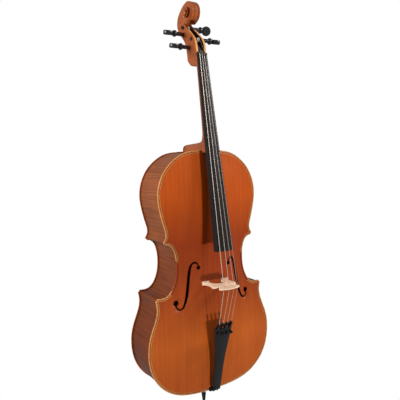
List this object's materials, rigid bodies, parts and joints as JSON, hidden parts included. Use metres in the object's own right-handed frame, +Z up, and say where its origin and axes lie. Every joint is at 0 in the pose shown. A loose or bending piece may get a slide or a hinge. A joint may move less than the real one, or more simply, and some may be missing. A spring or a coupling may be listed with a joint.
{
  "type": "cello",
  "caption": "Full-size bowed string instrument with arched hollow body, carved scroll, tuning pegs, four strings over a bridge, tailpiece with fine tuners and a sliding endpin.",
  "frame": {"origin": "centre of the lower end of the endpin's rubber tip, on the endpin's axis", "axes": "+Z up along the instrument towards the scroll, the strings and front plate face -Y, +X is to the right seen from the front"},
  "size_m": [0.4372, 0.2564, 1.2695],
  "materials": {
    "spruce_front": "glossy red-brown varnish over straight-grained spruce",
    "maple_back": "glossy red-brown varnish over flamed maple",
    "maple_ribs": "glossy amber varnish over flamed maple",
    "maple_neck": "glossy amber varnish on the head and heel, thin oil on the shaft",
    "purfling": "dyed wood inlay under varnish",
    "inner_spruce": "bare wood",
    "ebony": "polished black ebony",
    "bridge_maple": "bare oiled maple",
    "string_steel": "flat-wound steel, polished",
    "black_composite": "satin black",
    "tail_cord": "black nylon cord",
    "black_metal": "satin black lacquer",
    "plain_steel": "drawn steel",
    "ball_brass": "plain brass",
    "rubber_tip": "matte black rubber"
  },
  "bodies": {
    "root": {"top_plate": "spruce_front", "back_plate": "maple_back", "purfling_top": "purfling", "purfling_back": "purfling", "rib_upper_bass": "maple_ribs", "rib_waist_bass": "maple_ribs", "rib_lower_bass": "maple_ribs", "rib_upper_treble": "maple_ribs", "rib_waist_treble": "maple_ribs", "rib_lower_treble": "maple_ribs", "upper_block": "inner_spruce", "lower_block": "inner_spruce", "corner_blocks": "inner_spruce", "linings_top": "inner_spruce", "linings_back": "inner_spruce", "bass_bar": "inner_spruce", "soundpost": "inner_spruce", "neck": "maple_neck", "fingerboard": "ebony", "nut": "ebony", "string_c": "string_steel", "string_g": "string_steel", "string_d": "string_steel", "string_a": "string_steel", "bridge": "bridge_maple", "tailpiece": "black_composite", "tailpiece_fret": "black_metal", "tuner_pivot_pin": "plain_steel", "tailgut": "tail_cord", "saddle": "ebony", "endpin_socket": "ebony", "endpin_collar": "black_metal"},
    "peg_c": {"peg_c": "ebony", "winding_c": "string_steel"},
    "peg_g": {"peg_g": "ebony", "winding_g": "string_steel"},
    "peg_d": {"peg_d": "ebony", "winding_d": "string_steel"},
    "peg_a": {"peg_a": "ebony", "winding_a": "string_steel"},
    "screw_c": {"tuner_screw_c": "plain_steel"},
    "knob_c": {"tuner_knob_c": "black_metal"},
    "lever_c": {"tuner_lever_c": "black_metal", "string_ball_c": "ball_brass"},
    "screw_g": {"tuner_screw_g": "plain_steel"},
    "knob_g": {"tuner_knob_g": "black_metal"},
    "lever_g": {"tuner_lever_g": "black_metal", "string_ball_g": "ball_brass"},
    "screw_d": {"tuner_screw_d": "plain_steel"},
    "knob_d": {"tuner_knob_d": "black_metal"},
    "lever_d": {"tuner_lever_d": "black_metal", "string_ball_d": "ball_brass"},
    "screw_a": {"tuner_screw_a": "plain_steel"},
    "knob_a": {"tuner_knob_a": "black_metal"},
    "lever_a": {"tuner_lever_a": "black_metal", "string_ball_a": "ball_brass"},
    "endpin": {"endpin_rod": "plain_steel", "endpin_tip": "rubber_tip"},
    "endpin_lock": {"endpin_screw": "plain_steel"},
    "endpin_lock_head": {"endpin_thumb": "black_metal"}
  },
  "joints": [
    {"name": "peg_c_turn", "type": "hinge", "parent": "root", "child": "peg_c", "pos_m": [-0.03, 0, 1.1265], "axis": [-1, 0, 0], "range_deg": [-1080, 180]},
    {"name": "peg_g_turn", "type": "hinge", "parent": "root", "child": "peg_g", "pos_m": [-0.03, 0.036, 1.1745], "axis": [-1, 0, 0], "range_deg": [-1080, 180]},
    {"name": "peg_d_turn", "type": "hinge", "parent": "root", "child": "peg_d", "pos_m": [0.03, 0.0378, 1.196], "axis": [1, 0, 0], "range_deg": [-1080, 180]},
    {"name": "peg_a_turn", "type": "hinge", "parent": "root", "child": "peg_a", "pos_m": [0.03, -0.0145, 1.149], "axis": [1, 0, 0], "range_deg": [-1080, 180]},
    {"name": "screw_c_travel", "type": "slide", "parent": "root", "child": "screw_c", "axis": [0, 0.9746, 0.2241], "range_m": [0, 0.0015]},
    {"name": "knob_c_turn", "type": "hinge", "parent": "screw_c", "child": "knob_c", "pos_m": [-0.0215, -0.12859, 0.26869], "axis": [0, 0.9746, 0.2241], "range_deg": [0, 1081]},
    {"name": "lever_c_tilt", "type": "hinge", "parent": "root", "child": "lever_c", "pos_m": [-0.0215, -0.12061, 0.2813], "axis": [1, 0, 0], "range_deg": [0, 8.2]},
    {"name": "screw_g_travel", "type": "slide", "parent": "root", "child": "screw_g", "axis": [0, 0.9746, 0.2241], "range_m": [0, 0.0015]},
    {"name": "knob_g_turn", "type": "hinge", "parent": "screw_g", "child": "knob_g", "pos_m": [-0.00717, -0.12859, 0.26869], "axis": [0, 0.9746, 0.2241], "range_deg": [0, 1081]},
    {"name": "lever_g_tilt", "type": "hinge", "parent": "root", "child": "lever_g", "pos_m": [-0.00717, -0.12061, 0.2813], "axis": [1, 0, 0], "range_deg": [0, 8.2]},
    {"name": "screw_d_travel", "type": "slide", "parent": "root", "child": "screw_d", "axis": [0, 0.9746, 0.2241], "range_m": [0, 0.0015]},
    {"name": "knob_d_turn", "type": "hinge", "parent": "screw_d", "child": "knob_d", "pos_m": [0.00717, -0.12859, 0.26869], "axis": [0, 0.9746, 0.2241], "range_deg": [0, 1081]},
    {"name": "lever_d_tilt", "type": "hinge", "parent": "root", "child": "lever_d", "pos_m": [0.00717, -0.12061, 0.2813], "axis": [1, 0, 0], "range_deg": [0, 8.2]},
    {"name": "screw_a_travel", "type": "slide", "parent": "root", "child": "screw_a", "axis": [0, 0.9746, 0.2241], "range_m": [0, 0.0015]},
    {"name": "knob_a_turn", "type": "hinge", "parent": "screw_a", "child": "knob_a", "pos_m": [0.0215, -0.12859, 0.26869], "axis": [0, 0.9746, 0.2241], "range_deg": [0, 1081]},
    {"name": "lever_a_tilt", "type": "hinge", "parent": "root", "child": "lever_a", "pos_m": [0.0215, -0.12061, 0.2813], "axis": [1, 0, 0], "range_deg": [0, 8.2]},
    {"name": "endpin_slide", "type": "slide", "parent": "root", "child": "endpin", "axis": [0, 0, -1], "range_m": [0, 0.36]},
    {"name": "endpin_screw_travel", "type": "slide", "parent": "root", "child": "endpin_lock", "axis": [1, 0, 0], "range_m": [0, 0.0024]},
    {"name": "endpin_thumb_turn", "type": "hinge", "parent": "endpin_lock", "child": "endpin_lock_head", "pos_m": [0.02, 0, 0.0515], "axis": [-1, 0, 0], "range_deg": [0, 1081]}
  ],
  "couplings": [
    {"joint": "knob_c_turn", "follows": "screw_c_travel", "rad_per_m": 12566},
    {"joint": "lever_c_tilt", "follows": "screw_c_travel", "rad_per_m": 95.238},
    {"joint": "knob_g_turn", "follows": "screw_g_travel", "rad_per_m": 12566},
    {"joint": "lever_g_tilt", "follows": "screw_g_travel", "rad_per_m": 95.238},
    {"joint": "knob_d_turn", "follows": "screw_d_travel", "rad_per_m": 12566},
    {"joint": "lever_d_tilt", "follows": "screw_d_travel", "rad_per_m": 95.238},
    {"joint": "knob_a_turn", "follows": "screw_a_travel", "rad_per_m": 12566},
    {"joint": "lever_a_tilt", "follows": "screw_a_travel", "rad_per_m": 95.238},
    {"joint": "endpin_thumb_turn", "follows": "endpin_screw_travel", "rad_per_m": 7854}
  ]
}
